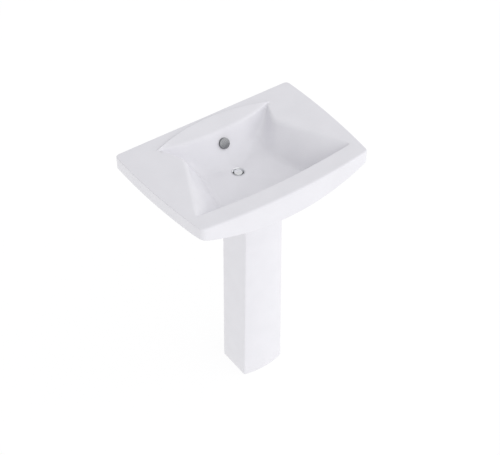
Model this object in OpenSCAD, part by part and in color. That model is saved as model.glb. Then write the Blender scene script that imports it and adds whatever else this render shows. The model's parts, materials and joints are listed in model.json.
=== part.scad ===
// Pedestal basin: a ceramic basin with a bowed front on a rectangular column, with its
// click-clack waste, overflow trim, bottle trap and fixing collars.
// Millimetres, +Z up, front towards -Y, origin on the floor under the centre of the object.

/* [Basin] */
// Overall width of the basin at its widest
basin_w = 643; // [630:1:660]
// Depth of the basin from the wall to the middle of the bowed front
basin_d = 444; // [436:1:452]
// Height of the flat rim above the floor
rim_h = 861; // [830:1:900]
// Height of the side faces
side_t = 44; // [40:1:50]
// Height of the front face at its middle
belly_t = 86; // [80:1:92]
// Thickness of the cast ceramic walls
wall = 11; // [9:1:12]
// Rise of the crescent platform along its back edge
platform_rise = 5; // [3:0.5:8]

/* [Bowl] */
// Distance of the waste axis from the wall
drain_d = 177; // [172:1:182]
// Depth of the bowl floor at the waste
bowl_depth = 98.5; // [94:0.5:102]
// Depth of the bowl floor at the foot of its walls
floor_edge_depth = 87; // [84:1:90]
// Distance of the bowl floor's back edge from the wall
foot_back_d = 128.5; // [127:0.5:130]
// Depth of the overflow centre under the rim
overflow_depth = 36.7; // [35:0.1:38]

/* [Pedestal] */
// Width of the column at the floor
column_w = 153; // [148:1:158]
// Width of the column at its top
column_top_w = 136; // [130:1:146]
// Distance of the column's rear edges from the wall
column_back_d = 190; // [186:1:196]
// Distance of the column's front corners from the wall
column_front_d = 309; // [300:1:316]
// How far the column's front face bows out
column_bow = 11; // [6:1:14]

/* [Fixings] */
// Distance between the two wall bolts
wall_bolt_spacing = 280; // [240:5:300]
// Depth of the wall bolts under the rim
wall_bolt_depth = 88; // [84:1:92]
// Clear hole through a wall collar, for an M10 bolt
wall_bolt_hole = 10.6; // [10.2:0.1:11]
// Distance between the two floor screws
floor_screw_spacing = 96; // [92:1:100]
// Clear hole through a floor collar, for an M8 screw
floor_screw_hole = 8.6; // [8.2:0.1:9]

/* [Waste and trap] */
// Diameter of the chrome waste flange
flange_dia = 40; // [39:0.5:41]
// Diameter of the plug cap
cap_dia = 26.4; // [26:0.1:27]
// Travel of the plug from shut to open
plug_travel = 8; // [6:0.5:8]
// Outer diameter of the trap's outlet pipe
pipe_dia = 32; // [31.8:0.1:32.2]
// Depth of the trap outlet's axis under the rim
outlet_depth = 285; // [280:1:290]

/* [Hidden] */

china = "white";
chrome = "silver";
rubber = "dimgray";
nylon = "gainsboro";
$fn = 96;

// ---- Plan curves of the basin: x right, d is the distance from the wall ----

widest_d = 100;              // where the bowed sides are widest
side_r = 2155;               // radius of the bowed sides in plan
front_r = 2076;              // radius of the bowed front in plan
back_corner = 15;            // rounding of the back corners
front_corner = 9;            // rounding of the front corners
corner_x = 298;              // half-width at the front corners

function sagitta(r, x) = r - sqrt(r * r - x * x);
function side_x(d) = basin_w / 2 - sagitta(side_r, d - widest_d);
function front_d(x) = basin_d - sagitta(front_r, x);

// Crescent platform and bowl rim
tip_d = 56;                  // wall distance of the crescent's tips
tip_x = 199;                 // half-width at the tips
crescent_front_d = 84.3;     // wall distance of the bowl rim's back at mid-width
crescent_back_d = 14.4;      // wall distance of the crescent's back edge at mid-width
waist_d = 131;               // wall distance of the rim's waist
waist_x = 152.3;             // half-width at the corner of the waist
waist_round = 13;            // how far the waist is rounded off that corner
rim_flare_back = 0.6;        // outward slope of the rim behind the waist
rim_flare_front = 0.537;     // outward slope of the rim in front of the waist
ledge_d = 381;               // wall distance of the front ledge's inner edge
ledge_corner_d = 364;        // the same at its corners
ledge_corner_x = 275;        // half-width of the ledge's inner edge

function arc_through(half, sag) = (half * half + sag * sag) / (2 * sag);
crescent_front_r = arc_through(tip_x, crescent_front_d - tip_d);
crescent_back_r = arc_through(tip_x, tip_d - crescent_back_d);
ledge_r = arc_through(ledge_corner_x, ledge_d - ledge_corner_d);

function rim_side_x(d) =
    let (mean = (rim_flare_front - rim_flare_back) / 2)
    let (half = (rim_flare_front + rim_flare_back) / 2)
    waist_x + mean * (d - waist_d) + norm([half * (d - waist_d), waist_round]);

// Foot of the bowl walls
foot_back_x = 102;           // half-width of the floor at the back
foot_front_d = 362;          // wall distance of the floor's front edge at mid-width
foot_corner_d = 352;         // the same at its corners
foot_corner_x = 164;         // half-width of the floor at the front
foot_r = arc_through(foot_corner_x, foot_front_d - foot_corner_d);

// Lean of the bowl's back wall from vertical, and the overflow's place on it
back_lean = atan((foot_back_d - crescent_front_d) / floor_edge_depth);
overflow_d = crescent_front_d + overflow_depth * tan(back_lean);

// Flat underside that rests on the pedestal
base_depth = 132;            // depth of the flat underside below the rim
base_back_d = 130;
base_front_d = 340;
base_x = 102;

// ---- Loops of stations round the basin, each with the same number of points ----

back_steps = 6;
corner_steps = 3;
side_steps = 14;
front_steps = 8;

// A corner b rounded between a and c as a short parabola
function blend(a, b, c, n) =
    [for (k = [0:n]) let (t = k / n) (1 - t) * (1 - t) * a + 2 * t * (1 - t) * b + t * t * c];
function inner(list) = [for (k = [1:len(list) - 2]) list[k]];
function toward(from, to, dist) = from + dist * (to - from) / norm(to - from);

// Joins a back stretch, a side stretch and a front stretch, both corners rounded, and mirrors it
function loop_of(back, back_corner_pt, side, front_corner_pt, front) =
    let (last_back = back[len(back) - 1], last_side = side[len(side) - 1])
    let (half = concat(back,
        inner(blend(last_back, back_corner_pt, side[0], corner_steps)),
        side,
        inner(blend(last_side, front_corner_pt, front[0], corner_steps)),
        front))
    concat(half, [for (k = [len(half) - 2:-1:1]) [-half[k].x, half[k].y]]);

function steps(n) = [for (k = [0:n]) k / n];
function mix(a, b, t) = a + (b - a) * t;

outline = loop_of(
    [for (t = steps(back_steps)) [mix(0, side_x(0) - back_corner, t), 0]],
    [side_x(0), 0],
    [for (t = steps(side_steps))
        let (d = mix(back_corner, front_d(corner_x) - front_corner, t)) [side_x(d), -d]],
    [corner_x, -front_d(corner_x)],
    [for (t = steps(front_steps))
        let (x = mix(corner_x - front_corner, 0, t)) [x, -front_d(x)]]);

tip_round = 5;
ledge_round = 8;
rim = loop_of(
    [for (t = steps(back_steps)) let (x = mix(0, tip_x - tip_round, t))
        [x, -crescent_front_d + sagitta(crescent_front_r, x)]],
    [tip_x, -tip_d],
    [for (t = steps(side_steps)) let (d = mix(tip_d + tip_round, ledge_corner_d - ledge_round, t))
        [rim_side_x(d), -d]],
    [rim_side_x(ledge_corner_d), -ledge_corner_d],
    [for (t = steps(front_steps)) let (x = mix(ledge_corner_x - ledge_round, 0, t))
        [x, -ledge_d + sagitta(ledge_r, x)]]);

// Crest of the deck at each station: the crescent platform's back edge behind the bowl, and a line
// between the rim and the outline elsewhere
crest_share = 0.6;
crest_tip = 5;               // the crest's distance from the rim round the crescent's tips
crest_back = [for (t = steps(back_steps)) let (x = mix(0, tip_x - tip_round, t))
    [x, -crescent_back_d - sagitta(crescent_back_r, x)]];
function crest_point(i) =
    let (k = from_back(i), side = i <= len(outline) / 2 ? 1 : -1)
    k <= back_steps ? [side * crest_back[k].x, crest_back[k].y]
        : k < back_steps + corner_steps ? toward(rim[i], outline[i], crest_tip)
        : mix(rim[i], outline[i], crest_share);

foot_round = 22;
foot = loop_of(
    [for (t = steps(back_steps)) [mix(0, foot_back_x - foot_round, t), -foot_back_d]],
    [foot_back_x, -foot_back_d],
    [for (t = steps(side_steps)) let (d = mix(foot_back_d + foot_round, foot_corner_d - foot_round, t))
        [mix(foot_back_x, foot_corner_x, (d - foot_back_d) / (foot_corner_d - foot_back_d)), -d]],
    [foot_corner_x, -foot_corner_d],
    [for (t = steps(front_steps)) let (x = mix(foot_corner_x - foot_round, 0, t))
        [x, -foot_front_d + sagitta(foot_r, x)]]);

base_round = 30;
base = loop_of(
    [for (t = steps(back_steps)) [mix(0, base_x - base_round, t), -base_back_d]],
    [base_x, -base_back_d],
    [for (t = steps(side_steps)) [base_x, -mix(base_back_d + base_round, base_front_d - base_round, t)]],
    [base_x, -base_front_d],
    [for (t = steps(front_steps)) [mix(base_x - base_round, 0, t), -base_front_d]]);

count = len(outline);
drain_xy = [0, -drain_d];
drain_ring_r = 22;
function drain_point(i, r) = toward(drain_xy, foot[i], r);

// Inward unit normal of a loop at station i
function inward(loop, i) =
    let (a = loop[(i + 1) % count] - loop[(i + count - 1) % count])
    [a.y, -a.x] / norm(a);
function inset(loop, i, dist) = loop[i] + dist * inward(loop, i);
function at(p, z) = [p.x, p.y, z];

// Rise of the platform's back edge at station i: full behind the bowl, none along the sides and the
// front. The platform falls from there to the rim, so that it drains into the bowl.
platform_slope = 8;          // plan width of the slope behind the platform's back edge
function from_back(i) = min(i, count - i);
function rise(i) = platform_rise * max(0, min(1, 1 - (from_back(i) - back_steps) / corner_steps));

// Height of the outer face at station i: constant at the back and sides, an arc across the front
front_t_r = arc_through(corner_x, belly_t - side_t + 4);
function face_t(i) =
    let (p = outline[i])
    p.y < -front_d(corner_x) + front_corner
        ? max(side_t - 4, belly_t - sagitta(front_t_r, p.x))
        : side_t - 4 * max(0, -p.y - 380) / 40;

// Underside of the shell: from the outer face's lower edge in to the flat base
hull_power = 1.7;
hull_steps = 5;
edge_round = 5;
function hull_point(i, u, lift, skin) =
    let (from = inset(outline, i, edge_round + skin))
    let (z = mix(-face_t(i), -base_depth, 1 - pow(1 - u, hull_power)))
    at(mix(from, base[i], u), z + lift);

// ---- Outer skin of the basin as rings of stations, from the waste outwards and round below ----

rim_blend = 4;
foot_blend_side = 24;
foot_blend_back = 34;        // stays below the overflow trim
function foot_blend(i) = foot[i].y > -foot_back_d - foot_round ? foot_blend_back : foot_blend_side;

// The side walls swell: they leave the deck at a gentle slope and get steeper towards the floor. The
// wall runs as a parabola whose knee stands out from the straight line between rim and foot.
swell = 12;                  // how far the knee stands out where the swell is full
swell_from_d = 170;
swell_to_d = 260;
side_last = back_steps + corner_steps + side_steps;
function swell_at(i) = from_back(i) > side_last ? 0
    : swell * max(0, min(1, (-rim[i].y - swell_from_d) / (swell_to_d - swell_from_d)));
function knee(i, f, r) =
    let (out = (r - f) / norm(r - f), level = norm([out.x, out.y]))
    (f + r) / 2 + swell_at(i) * [-out.x * out.z / level, -out.y * out.z / level, level];

function bowl_section(i) =
    let (d = at(drain_point(i, drain_ring_r), -bowl_depth))
    let (f = at(foot[i], -floor_edge_depth), r = at(rim[i], 0), k = knee(i, f, r))
    let (crest = at(crest_point(i), rise(i)))
    let (step_foot = at(toward(crest_point(i), outline[i], platform_slope), 0))
    let (o = at(outline[i], 0), low = at(outline[i], -face_t(i)))
    let (fb = foot_blend(i), wall_low = toward(f, k, fb), wall_high = toward(r, k, rim_blend))
    concat([d],
        blend(toward(f, d, min(fb, 0.8 * norm(f - d))), f, wall_low, 3),
        inner(blend(wall_low, k, wall_high, 4)),
        blend(wall_high, r, toward(r, crest, min(rim_blend, 0.9 * norm(crest - r))), 2),
        [crest, step_foot],
        blend(toward(o, r, edge_round), o, toward(o, low, edge_round), 3),
        blend(toward(low, o, edge_round), low, hull_point(i, 0, 0, 0), 2),
        [for (k = [1:hull_steps]) hull_point(i, k / hull_steps, 0, 0)]);

// ---- The hollow between the bowl and the underside, which is also the overflow passage ----

function hollow_section(i) =
    concat([at(toward(rim[i], outline[i], wall * 1.3), -wall)],
        [at(inset(outline, i, wall), -wall)],
        [at(inset(outline, i, wall), -face_t(i) + wall * 0.6)],
        [for (k = [1:hull_steps]) hull_point(i, k / hull_steps, wall, wall)],
        [at(drain_point(i, drain_ring_r), -base_depth + wall)],
        [at(drain_point(i, drain_ring_r), -bowl_depth - wall)],
        [at(toward(foot[i], outline[i], wall * 0.6), -floor_edge_depth - wall)]);

// A solid skin over sections of points, one per station. Closed sections make a hollow ring; open ones
// are capped at both ends by fans.
function fan_centre(points) = [for (p = points) 1] * points / len(points);

module skin(sections, closed) {
    n = len(sections);
    m = len(sections[0]);
    rows = closed ? m : m - 1;
    points = concat([for (s = sections) each s],
        [fan_centre([for (s = sections) s[0]]), fan_centre([for (s = sections) s[m - 1]])]);
    sides = [for (i = [0:n - 1]) for (k = [0:rows - 1])
        let (j = (i + 1) % n, q = (k + 1) % m)
        each [[i * m + k, i * m + q, j * m + q], [i * m + k, j * m + q, j * m + k]]];
    caps = [for (i = [0:n - 1]) let (j = (i + 1) % n)
        each [[n * m, i * m, j * m], [n * m + 1, j * m + m - 1, i * m + m - 1]]];
    polyhedron(points, closed ? sides : concat(sides, caps));
}

// ---- Frames ----

module basin_frame() {
    translate([0, basin_d / 2, rim_h]) children();
}

module waste_frame() {
    basin_frame() translate([0, -drain_d, 0]) children();
}

module overflow_frame() {
    basin_frame() translate([0, -overflow_d, -overflow_depth]) rotate([90 - back_lean, 0, 0])
        children();
}

// Copies its children at both sides of the mid-plane
module pair(spacing) {
    for (side = [-1, 1]) translate([side * spacing / 2, 0, 0]) children();
}

// A ring from its lower height up
module ring(outer, bore, low, high) {
    translate([0, 0, low]) difference() {
        cylinder(r = outer, h = high - low);
        translate([0, 0, -1]) cylinder(r = bore, h = high - low + 2);
    }
}

// ---- Ceramic ----

bore_r = 17.5;
recess_r = flange_dia / 2 + 0.6;
recess_depth = 3;
overflow_bore_r = 15.4;
chamber_r = drain_ring_r + 3;
lip_x = 165;                 // half-width of the wall flange under the back edge
lip_t = 14;                  // its thickness
lip_depth = 118;             // its depth under the rim
collar_r = 8;                // shank radius of a wall collar
gusset_t = 12;

// Set back a little from the wall plane, which the upper back face meets
lip_back = 1;
lip_top = side_t - 3;

module wall_flange() {
    difference() {
        union() {
            translate([-lip_x, -lip_back - lip_t, -lip_depth])
                cube([2 * lip_x, lip_t, lip_depth - lip_top]);
            for (x = [-lip_x, -gusset_t / 2, lip_x - gusset_t]) translate([x, 0, 0])
                rotate([90, 0, 90]) linear_extrude(gusset_t)
                    polygon([[-lip_back - 1, -side_t + 1], [-lip_back - 1, -lip_depth + 1],
                        [-84, -lip_depth + 3], [-80, -109], [-55, -91], [-30, -68], [-12, -46]]);
        }
        translate([0, -lip_back, -wall_bolt_depth]) rotate([90, 0, 0]) pair(wall_bolt_spacing)
            translate([0, 0, -1]) cylinder(r = collar_r, h = lip_t + 2);
    }
}

module basin() {
    color(china) basin_frame() difference() {
        union() {
            difference() {
                skin([for (i = [0:count - 1]) bowl_section(i)], false);
                skin([for (i = [0:count - 1]) hollow_section(i)], true);
            }
            wall_flange();
        }
        translate([0, -drain_d, -base_depth - 1]) cylinder(r = bore_r, h = base_depth);
        translate([0, -drain_d, -bowl_depth - recess_depth]) cylinder(r = recess_r, h = bowl_depth);
        translate([0, -drain_d, -base_depth + wall + 0.5])
            cylinder(r = chamber_r, h = base_depth - bowl_depth - 2 * wall - 1);
        translate([0, -overflow_d, -overflow_depth]) rotate([90 - back_lean, 0, 0])
            translate([0, 0, -wall * 1.6]) cylinder(r = overflow_bore_r, h = wall * 3);
    }
}

pad_t = 3;
column_h = rim_h - base_depth - pad_t;
column_wall = 11;
return_x = 57;               // half-width of the opening down the column's back, at the floor
column_r = arc_through(column_w / 2, column_bow);
lug_t = 12;                  // height of the lugs inside the column's foot
lug_d = 232;                 // wall distance of their holes
lug_w = 36;
lug_l = 40;
lug_shift = 4;               // how far a lug's middle is outside its hole
foot_collar_r = 7;           // shank radius of a floor collar

// Outline of the column, drawn in by an even inset
function column_outline(inset) =
    let (half = column_w / 2 - inset)
    concat([[half, -column_back_d - inset]],
        [for (k = [0:16]) let (x = half * (1 - k / 8))
            [x, -column_front_d - column_bow + inset + sagitta(column_r, x)]],
        [[-half, -column_back_d - inset]]);

module pedestal() {
    color(china) translate([0, basin_d / 2, 0]) difference() {
        union() {
            linear_extrude(column_h, scale = [column_top_w / column_w, 1], slices = 1) difference() {
                polygon(column_outline(0));
                polygon(column_outline(column_wall));
                translate([-return_x, -column_back_d - column_wall - 1])
                    square([2 * return_x, column_wall + 2]);
            }
            translate([0, -lug_d, lug_t / 2]) pair(floor_screw_spacing + 2 * lug_shift)
                cube([lug_w, lug_l, lug_t], center = true);
        }
        translate([0, -lug_d, -1]) pair(floor_screw_spacing)
            cylinder(r = foot_collar_r, h = lug_t + 2);
    }
}

front_pad = [22, 7, pad_t];
side_pad = [8, 24, pad_t];
front_pad_spacing = 90;
side_pad_d = column_back_d + 24;

module pedestal_pads() {
    color(rubber) translate([0, basin_d / 2, column_h + pad_t / 2]) {
        translate([0, -column_front_d + 0.5, 0]) pair(front_pad_spacing) cube(front_pad, center = true);
        translate([0, -side_pad_d, 0]) pair(column_top_w - 10) cube(side_pad, center = true);
    }
}

// A headed bush: shank and head, with a clear hole
module collar(shank_r, shank_len, head_r, head_t, hole) {
    difference() {
        union() {
            cylinder(r = shank_r, h = shank_len);
            translate([0, 0, shank_len]) cylinder(r = head_r, h = head_t);
        }
        translate([0, 0, -1]) cylinder(d = hole, h = shank_len + head_t + 2);
    }
}

module wall_collars() {
    color(nylon) basin_frame() translate([0, -lip_back, -wall_bolt_depth]) rotate([90, 0, 0])
        pair(wall_bolt_spacing) collar(collar_r, lip_t, collar_r + 5, 3, wall_bolt_hole);
}

module floor_collars() {
    color(nylon) translate([0, basin_d / 2 - lug_d, 0]) pair(floor_screw_spacing)
        collar(foot_collar_r, lug_t, foot_collar_r + 3, 2.5, floor_screw_hole);
}

// ---- Overflow trim ----

overflow_seal_t = 0.8;
trim_bore_r = 13.5;
trim_sleeve_r = 15;
trim_flange_r = 17.6;
trim_sleeve = 13;            // depth of the trim's sleeve in the bowl's wall
cover_r = 18.5;              // flat round cover in front of the hole
cover_low = 4.4;             // height of its back above the wall
cover_t = 2.4;
cover_edge = 0.7;            // chamfer round its face
leg_w = 5;                   // width of each of its three legs

// A flanged sleeve in the wall, and a flat cover on three legs that the water passes behind
module overflow_ring() {
    top = overflow_seal_t;
    cover_top = cover_low + cover_t;
    color(chrome) overflow_frame() union() {
        rotate_extrude()
            polygon([[trim_bore_r, -trim_sleeve], [trim_sleeve_r, -trim_sleeve], [trim_sleeve_r, top],
                [trim_flange_r, top], [trim_flange_r, top + 0.6], [trim_flange_r - 0.4, top + 1],
                [trim_bore_r, top + 1]]);
        rotate_extrude()
            polygon([[0, cover_low], [cover_r, cover_low], [cover_r, cover_top - cover_edge],
                [cover_r - cover_edge, cover_top], [0, cover_top]]);
        for (a = [90, 210, 330]) rotate([0, 0, a]) translate([trim_bore_r + 0.1, -leg_w / 2, top + 0.4])
            cube([1.4, leg_w, cover_low - top]);
    }
}

module overflow_seal() {
    color(rubber) overflow_frame() ring(trim_flange_r - 0.5, trim_sleeve_r + 0.05, 0, overflow_seal_t);
}

// ---- Waste ----

tail_r = 16.5;
tail_bore_r = 14.5;
tail_end = -182;
flange_top = -bowl_depth + 0.8;
flange_low = -bowl_depth - recess_depth + 1.5;
slot_low = -base_depth + wall + 1;
slot_high = -bowl_depth - wall - 1;

module waste_body() {
    color(chrome) waste_frame() difference() {
        rotate_extrude() polygon([[tail_bore_r, tail_end], [tail_r, tail_end], [tail_r, flange_low],
            [flange_dia / 2, flange_low], [flange_dia / 2, flange_top - 0.6],
            [flange_dia / 2 - 0.6, flange_top], [flange_dia / 2 - 1.6, flange_top],
            [tail_bore_r, flange_top - 6]]);
        for (k = [0:5]) rotate([0, 0, 60 * k + 30])
            translate([tail_bore_r - 2, -4, slot_low]) cube([6, 8, slot_high - slot_low]);
    }
}

module waste_top_seal() {
    color(rubber) waste_frame() ring(flange_dia / 2, tail_r + 0.05, -bowl_depth - recess_depth, flange_low);
}

seal_low = -base_depth - 7;
washer_low = seal_low - 2;
backnut_h = 10;
backnut_r = 27;              // to its corners
clamp_r = 26;                // outer radius of the seal it squeezes

module waste_bottom_seal() {
    color(rubber) waste_frame() rotate_extrude()
        polygon([[tail_r + 0.05, seal_low], [clamp_r, seal_low], [clamp_r, seal_low + 4],
            [clamp_r - 6, -base_depth], [tail_r + 0.05, -base_depth]]);
}

module waste_washer() {
    color(nylon) waste_frame() ring(clamp_r + 1, tail_r + 0.2, washer_low, seal_low);
}

module waste_backnut() {
    color(chrome) waste_frame() translate([0, 0, washer_low - backnut_h]) difference() {
        union() {
            cylinder(r = backnut_r, h = backnut_h, $fn = 6);
            translate([0, 0, backnut_h - 2]) cylinder(r = clamp_r - 1.5, h = 2);
        }
        translate([0, 0, -1]) cylinder(r = tail_r + 0.05, h = backnut_h + 2);
    }
}

cap_low = flange_top - 5;
hub_low = cap_low - 3.8;     // foot of the hub under the cap
hub_r = 11;
plug_seal_wire = 1.4;
stem_r = 3;
stem_collar_r = 5;
stem_tip_r = 2.2;
collar_top = -143;           // top of the stem's collar at rest
collar_h = 3;
spring_seat = -165;          // floor of the cartridge
click_top = -128;
click_r = 8;
spider_low = -150;           // the three-armed ring that holds the cartridge in the waste
spider_h = 8;

module plug_cap() {
    cap_r = cap_dia / 2;
    color(chrome) waste_frame() rotate_extrude()
        polygon([[0, hub_low], [hub_r, hub_low], [hub_r, cap_low], [cap_r, cap_low],
            [cap_r, flange_top - 1.4], [cap_r - 0.5, flange_top - 0.6],
            [cap_r - 1.6, flange_top - 0.2], [8, flange_top - 0.05], [0, flange_top]]);
}

module plug_seal() {
    color(rubber) waste_frame() translate([0, 0, cap_low - plug_seal_wire - 0.1])
        rotate_extrude() translate([hub_r + 0.2 + plug_seal_wire, 0]) circle(r = plug_seal_wire, $fn = 32);
}

module plug_stem() {
    color(chrome) waste_frame() {
        translate([0, 0, collar_top]) cylinder(r = stem_r, h = hub_low - collar_top);
        translate([0, 0, collar_top - collar_h]) cylinder(r = stem_collar_r, h = collar_h);
        translate([0, 0, collar_top - collar_h - 9]) cylinder(r = stem_tip_r, h = 9);
    }
}

module click_body() {
    color(chrome) waste_frame() difference() {
        union() {
            translate([0, 0, spring_seat - 3]) cylinder(r = click_r, h = click_top - spring_seat + 3);
            ring(tail_bore_r - 0.05, tail_bore_r - 1.3, spider_low, spider_low + spider_h);
            for (a = [0, 120, 240]) rotate([0, 0, a]) translate([click_r - 1.5, -1, spider_low])
                cube([tail_bore_r - click_r + 0.7, 2, spider_h]);
        }
        translate([0, 0, spring_seat]) cylinder(r = stem_collar_r + 0.6, h = click_top - 6 - spring_seat);
        translate([0, 0, spring_seat]) cylinder(r = stem_r + 0.05, h = click_top - spring_seat + 1);
    }
}

spring_turns = 6;
spring_wire = 0.45;
spring_r = 4.4;
spring_sides = 6;
spring_per_turn = 14;

module click_spring() {
    low = spring_seat + spring_wire;
    rise = collar_top - collar_h - spring_seat - 2 * spring_wire;
    rings = spring_turns * spring_per_turn;
    sections = [for (k = [0:rings])
        let (a = 360 * k / spring_per_turn, z = low + rise * k / rings)
        [for (s = [0:spring_sides - 1]) let (b = 360 * s / spring_sides, r = spring_r + spring_wire * cos(b))
            [r * cos(a), r * sin(a), z + spring_wire * sin(b)]]];
    points = [for (s = sections) for (p = s) p];
    m = spring_sides;
    faces = concat([[for (s = [0:m - 1]) s]], [[for (s = [m - 1:-1:0]) rings * m + s]],
        [for (k = [0:rings - 1]) for (s = [0:m - 1]) let (t = (s + 1) % m)
            each [[k * m + s, (k + 1) * m + t, k * m + t], [k * m + s, (k + 1) * m + s, (k + 1) * m + t]]]);
    color("gray") waste_frame() polyhedron(points, faces);
}

// ---- Bottle trap ----

dip_r = 14;                  // dip tube, inside the waste's tail nut and the trap's neck
dip_bore_r = 12.5;
dip_flange_r = tail_r - 0.1;
dip_flange_t = 3;
tube_top = tail_end - 2;
slip = 0.2;                  // play of a nut's lip round its pipe
pipe_r = pipe_dia / 2;
pipe_bore_r = pipe_r - 1.5;
trap_top = -236;
body_r = 31;
body_bore_r = 25.5;
skirt_r = 28.6;              // turned-down foot of the body, inside the cup
skirt_h = 12;
body_low = -322;
neck_r = 21;                 // threaded neck on the body's top
branch_r = 20;               // threaded branch towards the wall
branch_end = 52;             // its length from the trap's axis
cup_low = -372;
cup_r = 33;
cup_bore_r = 26;
cup_overlap = 10;            // how far the cup reaches up over the body

// A nut with shallow grip flutes, a main bore and a smaller lip at its far end
module fluted_nut(outer, bore, lip_bore, height, lip) {
    flutes = 24;
    difference() {
        cylinder(r = outer, h = height);
        translate([0, 0, lip]) cylinder(r = bore, h = height);
        translate([0, 0, -1]) cylinder(r = lip_bore, h = height);
        for (k = [0:flutes - 1]) rotate([0, 0, 360 / flutes * k])
            translate([outer + 0.9, 0, 3]) cylinder(r = 1.8, h = height, $fn = 24);
    }
}

module trap_inlet_nut() {
    color(chrome) waste_frame() translate([0, 0, tube_top - dip_flange_t - 4])
        fluted_nut(21.5, tail_r + 0.05, dip_r + slip, 24, 4);
}

module trap_inlet_seal() {
    color(rubber) waste_frame() ring(dip_flange_r, dip_bore_r, tube_top, tail_end);
}

module trap_inlet_tube() {
    color(chrome) waste_frame() union() {
        ring(dip_r, dip_bore_r, body_low + 10, tube_top - 1);
        ring(dip_flange_r, dip_bore_r, tube_top - dip_flange_t, tube_top);
    }
}

module trap_top_nut() {
    color(chrome) waste_frame() translate([0, 0, trap_top + 4]) mirror([0, 0, 1])
        fluted_nut(neck_r + 5, neck_r + 0.05, dip_r + slip, 20, 3);
}

module trap_top_seal() {
    color(rubber) waste_frame() ring(neck_r - 0.5, dip_r + 0.02, trap_top - 3, trap_top + 1);
}

module trap_body() {
    neck_low = trap_top - 18;
    color(chrome) waste_frame() difference() {
        union() {
            rotate_extrude() polygon([[0, body_low], [skirt_r, body_low],
                [skirt_r, body_low + skirt_h], [body_r, body_low + skirt_h],
                [body_r, neck_low - 8], [body_r - 3, neck_low - 3], [neck_r, neck_low],
                [neck_r, trap_top - 3], [0, trap_top - 3]]);
            translate([0, 0, -outlet_depth]) rotate([-90, 0, 0]) cylinder(r = branch_r, h = branch_end);
        }
        translate([0, 0, body_low - 1]) cylinder(r = body_bore_r, h = neck_low - 5 - body_low);
        translate([0, 0, neck_low - 22]) cylinder(r = dip_r + slip, h = 50);
        translate([0, 20, -outlet_depth]) rotate([-90, 0, 0]) cylinder(r = pipe_bore_r, h = 20);
        translate([0, spigot_start - 1, -outlet_depth]) rotate([-90, 0, 0])
            cylinder(r = spigot_r + 0.1, h = 20);
    }
}

module trap_cup() {
    color(chrome) waste_frame() difference() {
        rotate_extrude() polygon([[0, cup_low], [cup_r - 11, cup_low], [cup_r - 4, cup_low + 5],
            [cup_r - 1, cup_low + 12], [cup_r, body_low + cup_overlap], [0, body_low + cup_overlap]]);
        translate([0, 0, body_low - 3]) cylinder(r = skirt_r + 0.35, h = 20);
        translate([0, 0, cup_low + 8]) cylinder(r = cup_bore_r, h = 60);
        for (k = [0:11]) rotate([0, 0, 30 * k])
            translate([cup_r + 3.4, 0, cup_low - 1]) cylinder(r = 5, h = 26, $fn = 32);
    }
}

module trap_cup_seal() {
    color(rubber) waste_frame() ring(skirt_r - 0.4, cup_bore_r + 0.1, body_low - 3, body_low - 0.4);
}

// The outlet pipe's inner end is slimmer, where it slides into the trap
spigot_r = pipe_r - 0.2;
spigot_start = 37;           // from the trap's axis
spigot_end = 62;
outlet_nut_h = 22;

module trap_outlet_nut() {
    color(chrome) waste_frame() translate([0, branch_end + 4, -outlet_depth]) rotate([90, 0, 0])
        fluted_nut(branch_r + 6, branch_r + 0.05, spigot_r + slip, outlet_nut_h, 3);
}

module trap_outlet_seal() {
    color(rubber) waste_frame() translate([0, branch_end, -outlet_depth]) rotate([90, 0, 0])
        ring(branch_r - 0.5, spigot_r + 0.02, -1, 0);
}

module trap_outlet_pipe() {
    color(chrome) waste_frame() translate([0, 0, -outlet_depth]) rotate([-90, 0, 0]) difference() {
        union() {
            translate([0, 0, spigot_start]) cylinder(r = spigot_r, h = spigot_end - spigot_start);
            translate([0, 0, spigot_end]) cylinder(r = pipe_r, h = drain_d - spigot_end);
        }
        translate([0, 0, spigot_start - 1]) cylinder(r = pipe_bore_r, h = drain_d);
    }
}

basin();
pedestal();
pedestal_pads();
wall_collars();
floor_collars();
overflow_ring();
overflow_seal();
waste_body();
waste_top_seal();
waste_bottom_seal();
waste_washer();
waste_backnut();
plug_cap();
plug_seal();
plug_stem();
click_body();
click_spring();
trap_inlet_nut();
trap_inlet_seal();
trap_inlet_tube();
trap_top_nut();
trap_top_seal();
trap_body();
trap_cup();
trap_cup_seal();
trap_outlet_nut();
trap_outlet_seal();
trap_outlet_pipe();
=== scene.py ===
import json
import math

import bpy
import bmesh
import numpy as np
from mathutils import Matrix, Vector


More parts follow.
